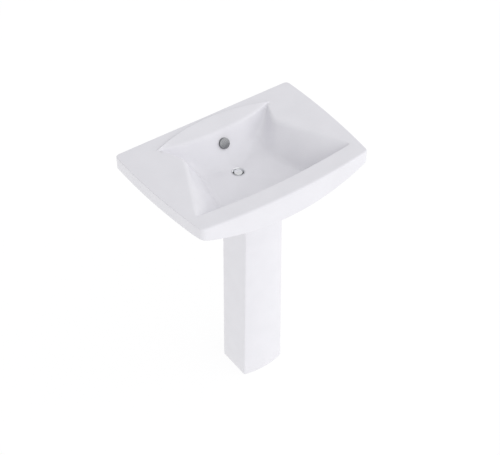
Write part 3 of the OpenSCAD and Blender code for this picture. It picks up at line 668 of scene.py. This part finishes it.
def basin_rows():
    """Rows of stations over the basin's whole skin, from the drain bore up, out, round and back."""
    rise = PLATFORM_RISE * np.clip(1 - (FROM_BACK - BACK_STEPS) / CORNER_STEPS, 0, 1)
    foot, rim = lift(FOOT, -FOOT_DEPTH), lift(RIM, 0)
    crest = lift(CREST, rise)
    step_foot = lift(toward(CREST, OUTLINE, PLATFORM_SLOPE), 0)
    top, low = lift(OUTLINE, 0), lift(OUTLINE, -FACE_T)
    drain = drain_ring(RECESS_R + RECESS_EDGE_OUT, -BOWL_DEPTH)
    knee = knee_of(foot, rim)
    to_drain, to_crest = np.linalg.norm(foot - drain, axis=1), np.linalg.norm(crest - rim, axis=1)
    foot_a = toward(foot, drain, np.minimum(foot_blend(), FOOT_LIMIT * to_drain))
    foot_b = toward(foot, knee, foot_blend())
    rim_a = toward(rim, knee, rim_blend())
    rim_b = toward(rim, crest, np.minimum(rim_blend(), RIM_LIMIT * to_crest))
    edge = mix(DECK_EDGE_SIDE, DECK_EDGE_FRONT, between(SIDE_LAST, FRONT_FIRST))
    room = np.linalg.norm(step_foot - top, axis=1)
    edge, turn = np.minimum(edge, DECK_LIMIT * room), np.minimum(PLATFORM_ROUND, STEP_LIMIT * room)
    recess_h = -BOWL_DEPTH - RECESS_DEPTH
    rows = [drain_ring(BORE_R, -BASE_DEPTH), drain_ring(BORE_R, recess_h)]
    rows += bend(drain_ring(RECESS_R - RECESS_ROUND, recess_h), drain_ring(RECESS_R, recess_h),
                 drain_ring(RECESS_R, recess_h + RECESS_ROUND), 2)
    rows += bend(drain_ring(RECESS_R, -BOWL_DEPTH - RECESS_EDGE_DOWN), drain_ring(RECESS_R, -BOWL_DEPTH),
                 drain, 4)
    rows += [floor_row(drain, foot_a, t) for t in steps(FLOOR_ROWS)[1:-1]]
    rows += [soften(row, FOOT_SPREAD) for row in bend(foot_a, foot, foot_b, FOOT_ROWS)]
    wall = bend(foot_b, knee, rim_a, WALL_ROWS)[1:-1]
    rows += [soften(row, WALL_SPREAD * (1 - t)) for row, t in zip(wall, steps(WALL_ROWS)[1:-1])]
    rows += bend(rim_a, rim, rim_b, RIM_ROWS)
    rows += [mix(rim_b, crest, t) for t in steps(PLATFORM_ROWS)[1:-1]]
    rows += edge_rows(rim, crest, step_foot, PLATFORM_ROUND, CREST_ROWS)
    rows += edge_rows(crest, step_foot, top, turn, STEP_ROWS)
    deck_from, deck_to = toward(step_foot, top, turn), toward(top, step_foot, edge)
    rows += [mix(deck_from, deck_to, t) for t in (0.25, 0.5, 0.75)]
    rows += edge_rows(step_foot, top, low, edge, EDGE_ROWS)
    face_from, face_to = toward(top, low, edge), toward(low, top, EDGE_ROUND)
    rows += [mix(face_from, face_to, t) for t in steps(FACE_ROWS)[1:-1]]
    rows += bend(face_to, low, hull_row(0, 0, 0), LOW_EDGE_ROWS)
    rows += [hull_row(t, 0, 0) for t in steps(HULL_ROWS)[1:]]
    return rows


def cavity_rows():
    """Rows of the sealed hollow between the bowl and the underside."""
    rim, foot = lift(RIM, -WALL), lift(FOOT, -FOOT_DEPTH - WALL)
    deck = lift(inset(OUTLINE, WALL), -WALL)
    side = lift(inset(OUTLINE, WALL), -FACE_T + HOLLOW_SIDE * WALL)
    inner_rim = toward(rim, deck, HOLLOW_RIM * WALL)
    inner_foot = toward(foot, lift(OUTLINE, -FOOT_DEPTH - WALL), HOLLOW_FOOT * WALL)
    rows = bend(mix(inner_rim, inner_foot, HOLLOW_CORNER), inner_rim,
                mix(inner_rim, deck, HOLLOW_CORNER), 3)
    rows += [deck, side]
    rows += [hull_row(t, WALL, WALL) for t in steps(HOLLOW_ROWS)[1:]]
    rows += [drain_ring(HOLLOW_DRAIN_R, -BASE_DEPTH + WALL), drain_ring(HOLLOW_DRAIN_R, -BOWL_DEPTH - WALL)]
    return rows + [inner_foot]


def basin_skin():
    """The basin's outer skin with its sealed hollow inside, as one mesh."""
    outer, inner = basin_rows(), cavity_rows()
    points = row_points(np.concatenate(outer + inner))
    faces = grid_faces(len(outer), COUNT, True)
    hollow = grid_faces(len(inner), COUNT, True, len(outer) * COUNT)
    mesh = bpy.data.meshes.new("basin_skin")
    mesh.from_pydata([tuple(p) for p in points], [], faces + [f[::-1] for f in hollow])
    return mesh


# ---------------------------------------------------------------- finished pieces

def box_mesh(low, high):
    """A closed box between two corners, in millimetres."""
    corners = [(x, y, h) for x in (low[0], high[0]) for y in (low[1], high[1]) for h in (low[2], high[2])]
    faces = [(0, 1, 3, 2), (4, 6, 7, 5), (0, 4, 5, 1), (2, 3, 7, 6), (0, 2, 6, 4), (1, 5, 7, 3)]
    return np.array(corners, float), faces


def prism_mesh(profile, low_x, high_x):
    """A closed prism across x with a profile of (y, h)."""
    return capped([np.array([(x, y, h) for y, h in profile], float) for x in (low_x, high_x)])


def bevelled(mesh, width, segments):
    """The mesh with its sharp edges rounded by that width in millimetres."""
    work = bmesh.new()
    work.from_mesh(mesh)
    edges = [e for e in work.edges if e.calc_face_angle(0.0) > math.radians(BEVEL_ANGLE)]
    bmesh.ops.bevel(work, geom=edges, offset=width * MM, segments=segments, profile=0.5, affect="EDGES",
                    clamp_overlap=True)
    work.to_mesh(mesh)
    work.free()
    return mesh


# The flange at the wall reaches from LIP_TOP down to LIP_DEPTH below the rim
LIP_X, LIP_T, LIP_BACK, LIP_TOP, LIP_DEPTH, LIP_EDGE = 165.0, 14.0, 1.0, 41.0, 118.0, 2.0
BOLT_X, BOLT_DEPTH, BOLT_R = 140.0, 88.0, 8.0
# How far the bolt holes' cutters reach past the flange's back and front
PAST_BACK, PAST_FRONT = 5.0, 8.0
# The gussets' profile of -d and h; its upper side lies inside the shell of the underside
GUSSET_T, GUSSET_EDGE = 12.0, 1.5
GUSSET = [(-LIP_BACK - 1, -43.0), (-12.0, -46.0), (-30.0, -68.0), (-55.0, -91.0), (-80.0, -109.0),
          (-84.0, -LIP_DEPTH + 3), (-LIP_BACK - 1, -LIP_DEPTH + 1)]


def wall_flange():
    """The flange under the basin's back edge, with its three gussets, edges rounded."""
    points, faces = box_mesh((-LIP_X, -LIP_BACK - LIP_T, -LIP_DEPTH), (LIP_X, -LIP_BACK, -LIP_TOP))
    flange = bevelled(mesh_of("flange", row_points(points), faces), LIP_EDGE, 3)
    for x in (-LIP_X, -GUSSET_T / 2, LIP_X - GUSSET_T):
        points, faces = prism_mesh(GUSSET, x, x + GUSSET_T)
        gusset = bevelled(mesh_of("gusset", row_points(points), faces), GUSSET_EDGE, 2)
        flange = combine(flange, gusset, "UNION")
    return flange


def placed(points, place, tilt=0.0):
    """Points in millimetres, tipped forwards about X by tilt in degrees, then moved."""
    turn = np.array(Matrix.Rotation(math.radians(tilt), 3, "X"))
    return np.asarray(points) @ turn.T + np.asarray(place, float)


def rod(radius, low, high, place, tilt):
    """A closed cylinder from low to high along its own axis."""
    points, faces = capped([ring(radius, low, ROD_SEGMENTS), ring(radius, high, ROD_SEGMENTS)])
    return mesh_of("rod", row_points(placed(points, place, tilt)), faces)


# The overflow's middle lies on the straight line from the back wall's foot to its rim; the overflow's
# own axis points out of that wall
BACK_LEAN = math.degrees(math.atan((FOOT_BACK_D - CRESCENT_FRONT_D) / FOOT_DEPTH))
OVERFLOW_DEPTH = 36.7
OVERFLOW = (0.0, -CRESCENT_FRONT_D - OVERFLOW_DEPTH * math.tan(math.radians(BACK_LEAN)), -OVERFLOW_DEPTH)
OVERFLOW_TILT = 90.0 - BACK_LEAN
OVERFLOW_BORE_R, OVERFLOW_SEAT_R = 15.4, 18.2
# Heights along the overflow's axis of the bore's end, of the seat and of the cutter's mouth
BORE_END, SEAT_LEVEL, HOLE_MOUTH = -17.6, 0.05, 14.0


def basin_casting():
    """The whole casting: skin, wall flange, bolt holes and overflow hole."""
    casting = combine(basin_skin(), wall_flange(), "UNION")
    for x in (-BOLT_X, BOLT_X):
        bolt_hole = rod(BOLT_R, -PAST_BACK, LIP_T + PAST_FRONT, (x, -LIP_BACK, -BOLT_DEPTH), 90.0)
        casting = combine(casting, bolt_hole, "DIFFERENCE")
    hole = turned("hole", [(0, BORE_END), (OVERFLOW_BORE_R, BORE_END), (OVERFLOW_BORE_R, SEAT_LEVEL),
                           (OVERFLOW_SEAT_R, SEAT_LEVEL), (OVERFLOW_SEAT_R, HOLE_MOUTH), (0, HOLE_MOUTH)],
                  [0] * 6, OVERFLOW, OVERFLOW_TILT)
    return combine(casting, hole, "DIFFERENCE")


def rounded(profile, radii):
    """A closed outline with each corner rounded; the radii are tangent lengths."""
    out = []
    count = len(profile)
    for i, (corner, radius) in enumerate(zip(profile, radii)):
        corner = np.array(corner, float)
        if radius == 0:
            out.append(corner)
            continue
        before = np.array(profile[i - 1], float) - corner
        after = np.array(profile[(i + 1) % count], float) - corner
        start = corner + before * radius / np.linalg.norm(before)
        end = corner + after * radius / np.linalg.norm(after)
        out += bend(start, corner, end, CORNER_POINTS)
    return out


def turned(name, profile, radii, place, tilt=0.0):
    """A body turned round its own axis from a closed profile with rounded corners."""
    points, faces = lathe(rounded(profile, radii))
    return mesh_of(name, row_points(placed(points, place, tilt)), faces)


def block(low, high, place, tilt, turn, width):
    """A box turned about Z by turn degrees and then placed, its edges rounded unless width is 0."""
    points, faces = box_mesh(low, high)
    spin = np.array(Matrix.Rotation(math.radians(turn), 3, "Z"))
    mesh = mesh_of("block", row_points(placed(points @ spin.T, place, tilt)), faces)
    return bevelled(mesh, width, 2) if width else mesh


# Heights along the overflow's axis: the flange starts at TRIM_SEAT, its sleeve ends at TRIM_END
TRIM_SEAT, TRIM_T, TRIM_END = 0.8, 1.0, -13.0
TRIM_BORE_R, TRIM_SLEEVE_R, TRIM_FLANGE_R = 13.5, 15.0, 17.6
COVER_R, COVER_LOW, COVER_TOP, COVER_EDGE = 17.4, 4.4, 6.8, 1.3
# The legs start LEG_SINK above TRIM_SEAT, end LEG_SINK inside the cover and stand LEG_IN off the bore
LEG_W, LEG_SINK, LEG_IN = 5.0, 0.4, 0.1


def overflow_trim():
    """Flanged sleeve in the wall, with a flat round cover on three legs in front of it."""
    trim_top = TRIM_SEAT + TRIM_T
    trim = turned("sleeve", [(TRIM_BORE_R, TRIM_END), (TRIM_SLEEVE_R, TRIM_END), (TRIM_SLEEVE_R, TRIM_SEAT),
                             (TRIM_FLANGE_R, TRIM_SEAT), (TRIM_FLANGE_R, trim_top), (TRIM_BORE_R, trim_top)],
                  [0.3, 0.3, 0, 0.1, 0.4, 0.4], OVERFLOW, OVERFLOW_TILT)
    cover = turned("cover", [(0, COVER_LOW), (COVER_R, COVER_LOW), (COVER_R, COVER_TOP), (0, COVER_TOP)],
                   [0, 0.3, COVER_EDGE, 0], OVERFLOW, OVERFLOW_TILT)
    for turn in (90, 210, 330):
        leg = block((TRIM_BORE_R + LEG_IN, -LEG_W / 2, TRIM_SEAT + LEG_SINK),
                    (TRIM_SLEEVE_R, LEG_W / 2, COVER_LOW + LEG_SINK), OVERFLOW, OVERFLOW_TILT, turn, 0)
        trim = combine(trim, leg, "UNION")
    trim = combine(trim, cover, "UNION")
    # The trim takes the chrome copy whose darker colour is painted shade in its reflection.
    add_piece("overflow_trim", trim, "sink", "chrome", ["overflow_ring"], "satin_painted_shade")


WASTE = (0.0, -DRAIN_D, 0.0)
# Radii, and heights from the rim
TAIL_R, TAIL_BORE_R, TAIL_END = 16.5, 14.5, -182.0
FLANGE_R, FLANGE_TOP, FLANGE_LOW = 20.0, -BOWL_DEPTH + 0.8, -BOWL_DEPTH - RECESS_DEPTH + 1.5
FLANGE_LIP, FUNNEL_DEPTH = 1.6, 6.0
# The overflow slots lie at the height of the sealed hollow; their cutters reach SLOT_PAST past the tail
SLOT_LOW, SLOT_HIGH = -BASE_DEPTH + WALL + 1, -BOWL_DEPTH - WALL - 1
SLOT_W, SLOT_PAST = 8.0, 4.0


def waste():
    """Chrome flange with a funnel mouth and a long tail with six overflow slots."""
    body = turned("waste", [(TAIL_BORE_R, TAIL_END), (TAIL_R, TAIL_END), (TAIL_R, FLANGE_LOW),
                            (FLANGE_R, FLANGE_LOW), (FLANGE_R, FLANGE_TOP),
                            (FLANGE_R - FLANGE_LIP, FLANGE_TOP), (TAIL_BORE_R, FLANGE_TOP - FUNNEL_DEPTH)],
                  [0.4, 0.4, 0, 0.2, 0.6, 0.5, 1.5], WASTE)
    for turn in (30, 90, 150):
        slot = block((-TAIL_R - SLOT_PAST, -SLOT_W / 2, SLOT_LOW),
                     (TAIL_R + SLOT_PAST, SLOT_W / 2, SLOT_HIGH), WASTE, 0, turn, 0)
        body = combine(body, slot, "DIFFERENCE")
    add_piece("waste_flange_and_tail", body, "sink", "chrome", ["waste_body"])


CAP_R, CAP_TOP, CAP_LOW = 13.2, FLANGE_TOP - 1.8, FLANGE_TOP - 5
HUB_R, HUB_H = 11.0, 3.8
# The cap's dome: how far its rim and a ring of DOME_R lie below its middle
CAP_DROP, DOME_R, DOME_DROP = 0.4, 8.0, 0.05


def plug():
    """Slightly domed plug cap over its hub, a little below the flange."""
    cap = turned("plug", [(0, CAP_LOW - HUB_H), (HUB_R, CAP_LOW - HUB_H), (HUB_R, CAP_LOW), (CAP_R, CAP_LOW),
                          (CAP_R, CAP_TOP - CAP_DROP), (DOME_R, CAP_TOP - DOME_DROP), (0, CAP_TOP)],
                 [0, 0.5, 0, 0.4, 1.0, 2.0, 0], WASTE)
    add_piece("plug_top", cap, "plug", "chrome", ["plug_cap"])


# The floor's height in the basin's own frame
FLOOR_H = -RIM_Z / MM
COLUMN_HALF = (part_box("pedestal")[1].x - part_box("pedestal")[0].x) / MM / 2
COLUMN_H = (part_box("pedestal")[1].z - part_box("pedestal")[0].z) / MM
COLUMN_TOP_SHARE = 136.0 / 153.0
COLUMN_BACK_D, COLUMN_FRONT_D, COLUMN_BOW, COLUMN_WALL = 190.0, 309.0, 11.0, 11.0
# Half the gap between the returns of the open back
RETURN_X = 57.0
# Roundings of the section's corners, and of the column's two ends
FRONT_ROUND, INNER_FRONT_ROUND, BACK_ROUND, RETURN_ROUND, END_ROUND = 3.5, 5.0, 3.0, 2.0, 2.0
BOW_STEPS, END_STEPS, COLUMN_STEPS = 28, 4, 12
LUG_X, LUG_D, LUG_W, LUG_L, LUG_T, LUG_EDGE = 52.0, 232.0, 36.0, 40.0, 12.0, 2.0
SCREW_X, SCREW_R, SCREW_PAST = 48.0, 7.0, 2.0


def column_section(e):
    """The column's C-shaped section with rounded corners, its wall thinner by e from both sides."""
    bow_r = arc_through(COLUMN_HALF, COLUMN_BOW)
    half, half_in, gap = COLUMN_HALF - e, COLUMN_HALF - COLUMN_WALL + e, RETURN_X + e
    bow_d = COLUMN_FRONT_D + COLUMN_BOW
    bows = []
    for reach, d in ((half, bow_d - e), (-half_in, bow_d - COLUMN_WALL + e)):
        x = reach * mix(1, -1, steps(BOW_STEPS))
        bows.append(np.column_stack([x, -(d - sagitta(bow_r, x))]))
    outer, inner = bows
    back, back_in = -(COLUMN_BACK_D + e), -(COLUMN_BACK_D + COLUMN_WALL - e)
    corners = [([half, back], BACK_ROUND), (outer[0], FRONT_ROUND)] + [(p, 0) for p in outer[1:-1]]
    corners += [(outer[-1], FRONT_ROUND), ([-half, back], BACK_ROUND), ([-gap, back], RETURN_ROUND),
                ([-gap, back_in], RETURN_ROUND), ([-half_in, back_in], BACK_ROUND),
                (inner[0], INNER_FRONT_ROUND)] + [(p, 0) for p in inner[1:-1]]
    corners += [(inner[-1], INNER_FRONT_ROUND), ([half_in, back_in], BACK_ROUND),
                ([gap, back_in], RETURN_ROUND), ([gap, back], RETURN_ROUND)]
    return np.array(rounded([c for c, _ in corners], [r for _, r in corners]))


def column():
    """The tapering column with its two drilled lugs, edges rounded."""
    end = []
    for t in steps(END_STEPS):
        angle = t * math.pi / 2
        end.append((END_ROUND * (1 - math.sin(angle)), END_ROUND * (1 - math.cos(angle))))
    levels = end + [(0, COLUMN_H * t) for t in steps(COLUMN_STEPS)[1:-1]]
    levels += [(e, COLUMN_H - z) for e, z in end[::-1]]
    loops = []
    for e, z in levels:
        loop = column_section(e) * np.array([mix(1.0, COLUMN_TOP_SHARE, z / COLUMN_H), 1.0])
        loops.append(lift(loop, z + FLOOR_H))
    points, faces = capped(loops)
    mesh = mesh_of("column", row_points(points), faces)
    for x in (-LUG_X, LUG_X):
        lug = block((x - LUG_W / 2, -LUG_D - LUG_L / 2, 0), (x + LUG_W / 2, -LUG_D + LUG_L / 2, LUG_T),
                    (0, 0, FLOOR_H), 0, 0, LUG_EDGE)
        mesh = combine(mesh, lug, "UNION")
    for x in (-SCREW_X, SCREW_X):
        screw_hole = rod(SCREW_R, -SCREW_PAST, LUG_T + SCREW_PAST, (x, -LUG_D, FLOOR_H), 0)
        mesh = combine(mesh, screw_hole, "DIFFERENCE")
    add_piece("column", mesh, "sink", "china", ["pedestal"])


# Nodes that the five finished pieces take the place of; the others are shown as they are
REPLACED = ("basin", "pedestal", "overflow_ring", "waste_body", "plug_cap")

make_camera()
make_world(level=0.92, to_right=0.20, to_front=0.335, to_top=-0.06)
make_floor(half=12.0, glow=0.9, diffuse=0.12)
area_light("key", place=(3.4, -2.2, 2.6), target=(0, 0, 0.8), size=2.2, power=10.0)

add_piece("basin_casting", basin_casting(), "sink", "china", ["basin"])
column()
overflow_trim()
waste()
plug()

for name, node in frame["nodes"].items():
    if name in REPLACED:
        continue
    slot = next(s["material_slot"] for s in frame["record"]["subparts"] if s["node"] == name)
    node.data.materials.clear()
    node.data.materials.append(MATERIALS[slot])

bpy.context.scene.view_settings.view_transform = "Standard"
